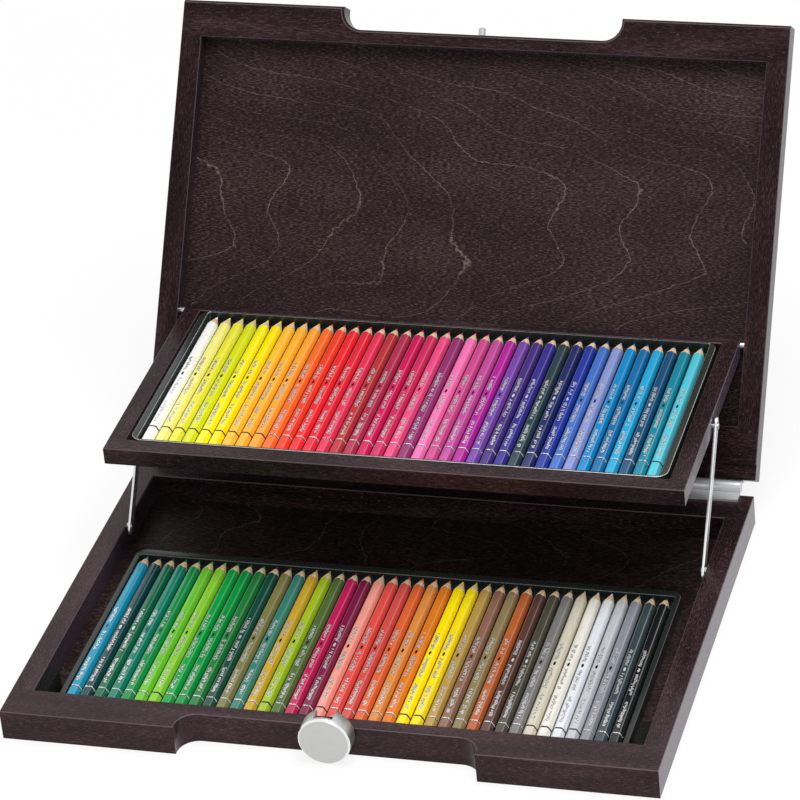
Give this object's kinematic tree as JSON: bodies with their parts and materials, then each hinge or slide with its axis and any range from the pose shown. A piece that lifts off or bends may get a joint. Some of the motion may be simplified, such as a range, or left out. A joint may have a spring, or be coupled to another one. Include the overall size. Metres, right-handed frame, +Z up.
{
  "type": "two-tier wooden case for coloured pencils",
  "caption": "Flat wooden case that folds open: its lid lifts a tray of coloured pencils on two link bars, above a second row in the base, with a turn catch in front.",
  "frame": {"origin": "centre of the base's underside, on the surface that it rests on", "axes": "+X right along the case's width, -Y towards the user and the catch, +Z up; the case stands open as pictured"},
  "size_m": [0.425, 0.5015, 0.2741],
  "materials": {
    "stained_wood": "satin stain",
    "panel_wood": "satin stain",
    "dowel_wood": "raw beech",
    "insert_plastic": "thermoformed",
    "foam": "foam",
    "satin_aluminium": "satin",
    "bright_steel": "brushed",
    "brass": "turned",
    "pencil_leads": "waxy, coloured",
    "lacquer_teal": "gloss lacquer",
    "lacquer_green": "gloss lacquer",
    "lacquer_dark_green": "gloss lacquer",
    "lacquer_olive": "gloss lacquer",
    "lacquer_plum": "gloss lacquer",
    "lacquer_coral": "gloss lacquer",
    "lacquer_gold": "gloss lacquer",
    "lacquer_brown": "gloss lacquer",
    "lacquer_grey": "gloss lacquer",
    "lacquer_black": "gloss lacquer",
    "lacquer_ivory": "gloss lacquer",
    "lacquer_yellow": "gloss lacquer",
    "lacquer_orange": "gloss lacquer",
    "lacquer_red": "gloss lacquer",
    "lacquer_crimson": "gloss lacquer",
    "lacquer_pink": "gloss lacquer",
    "lacquer_violet": "gloss lacquer",
    "lacquer_blue": "gloss lacquer",
    "lacquer_turquoise": "gloss lacquer"
  },
  "bodies": {
    "case": {"base_front_rail": "stained_wood", "base_rear_rail": "stained_wood", "base_left_rail": "stained_wood", "base_right_rail": "stained_wood", "base_floor": "panel_wood", "base_dowels": "dowel_wood", "stop_blocks": "foam", "lower_insert": "insert_plastic", "base_hinge_leaf": "satin_aluminium", "hinge_pin": "bright_steel", "base_hinge_screws": "bright_steel", "link_lower_pins": "bright_steel", "knob_bush": "brass", "pencil_leads_lower": "pencil_leads", "pencils_lower_teal": "lacquer_teal", "pencils_lower_green": "lacquer_green", "pencils_lower_dark_green": "lacquer_dark_green", "pencils_lower_olive": "lacquer_olive", "pencils_lower_plum": "lacquer_plum", "pencils_lower_coral": "lacquer_coral", "pencils_lower_gold": "lacquer_gold", "pencils_lower_brown": "lacquer_brown", "pencils_lower_grey": "lacquer_grey", "pencils_lower_black": "lacquer_black"},
    "lid": {"lid_front_rail": "stained_wood", "lid_rear_rail": "stained_wood", "lid_left_rail": "stained_wood", "lid_right_rail": "stained_wood", "lid_panel": "panel_wood", "lid_dowels": "dowel_wood", "lid_hinge_leaf": "satin_aluminium", "lid_hinge_screws": "bright_steel", "catch_pin": "bright_steel", "tray_pivot_pins": "bright_steel"},
    "tray": {"tray_front_rail": "stained_wood", "tray_rear_rail": "stained_wood", "tray_left_rail": "stained_wood", "tray_right_rail": "stained_wood", "tray_floor": "panel_wood", "tray_dowels": "dowel_wood", "upper_insert": "insert_plastic", "link_upper_pins": "bright_steel", "pencil_leads_upper": "pencil_leads", "pencils_upper_ivory": "lacquer_ivory", "pencils_upper_yellow": "lacquer_yellow", "pencils_upper_orange": "lacquer_orange", "pencils_upper_red": "lacquer_red", "pencils_upper_crimson": "lacquer_crimson", "pencils_upper_pink": "lacquer_pink", "pencils_upper_violet": "lacquer_violet", "pencils_upper_blue": "lacquer_blue", "pencils_upper_turquoise": "lacquer_turquoise"},
    "link_left": {"link_left": "bright_steel"},
    "link_right": {"link_right": "bright_steel"},
    "catch_knob": {"catch_knob": "satin_aluminium", "knob_spindle": "bright_steel", "knob_nut": "bright_steel"}
  },
  "joints": [
    {"name": "lid_hinge", "type": "hinge", "parent": "case", "child": "lid", "pos_m": [0, 0.15657, 0.0245], "axis": [1, 0, 0], "range_deg": [0, 126.3]},
    {"name": "tray_pivot", "type": "hinge", "parent": "lid", "child": "tray", "pos_m": [0, 0.21478, 0.09831], "axis": [1, 0, 0], "range_deg": [-126.3, 0]},
    {"name": "left_link_pivot", "type": "hinge", "parent": "case", "child": "link_left", "pos_m": [-0.196, 0.066, 0.0182], "axis": [1, 0, 0], "range_deg": [0, 126.3]},
    {"name": "right_link_pivot", "type": "hinge", "parent": "case", "child": "link_right", "pos_m": [0.196, 0.066, 0.0182], "axis": [1, 0, 0], "range_deg": [0, 126.3]},
    {"name": "catch_turn", "type": "hinge", "parent": "case", "child": "catch_knob", "pos_m": [0, -0.14357, 0.0175], "axis": [0, 1, 0], "range_deg": [0, 90]}
  ],
  "couplings": [
    {"joint": "tray_pivot", "follows": "lid_hinge", "ratio": -1},
    {"joint": "left_link_pivot", "follows": "lid_hinge", "ratio": 1},
    {"joint": "right_link_pivot", "follows": "lid_hinge", "ratio": 1}
  ]
}
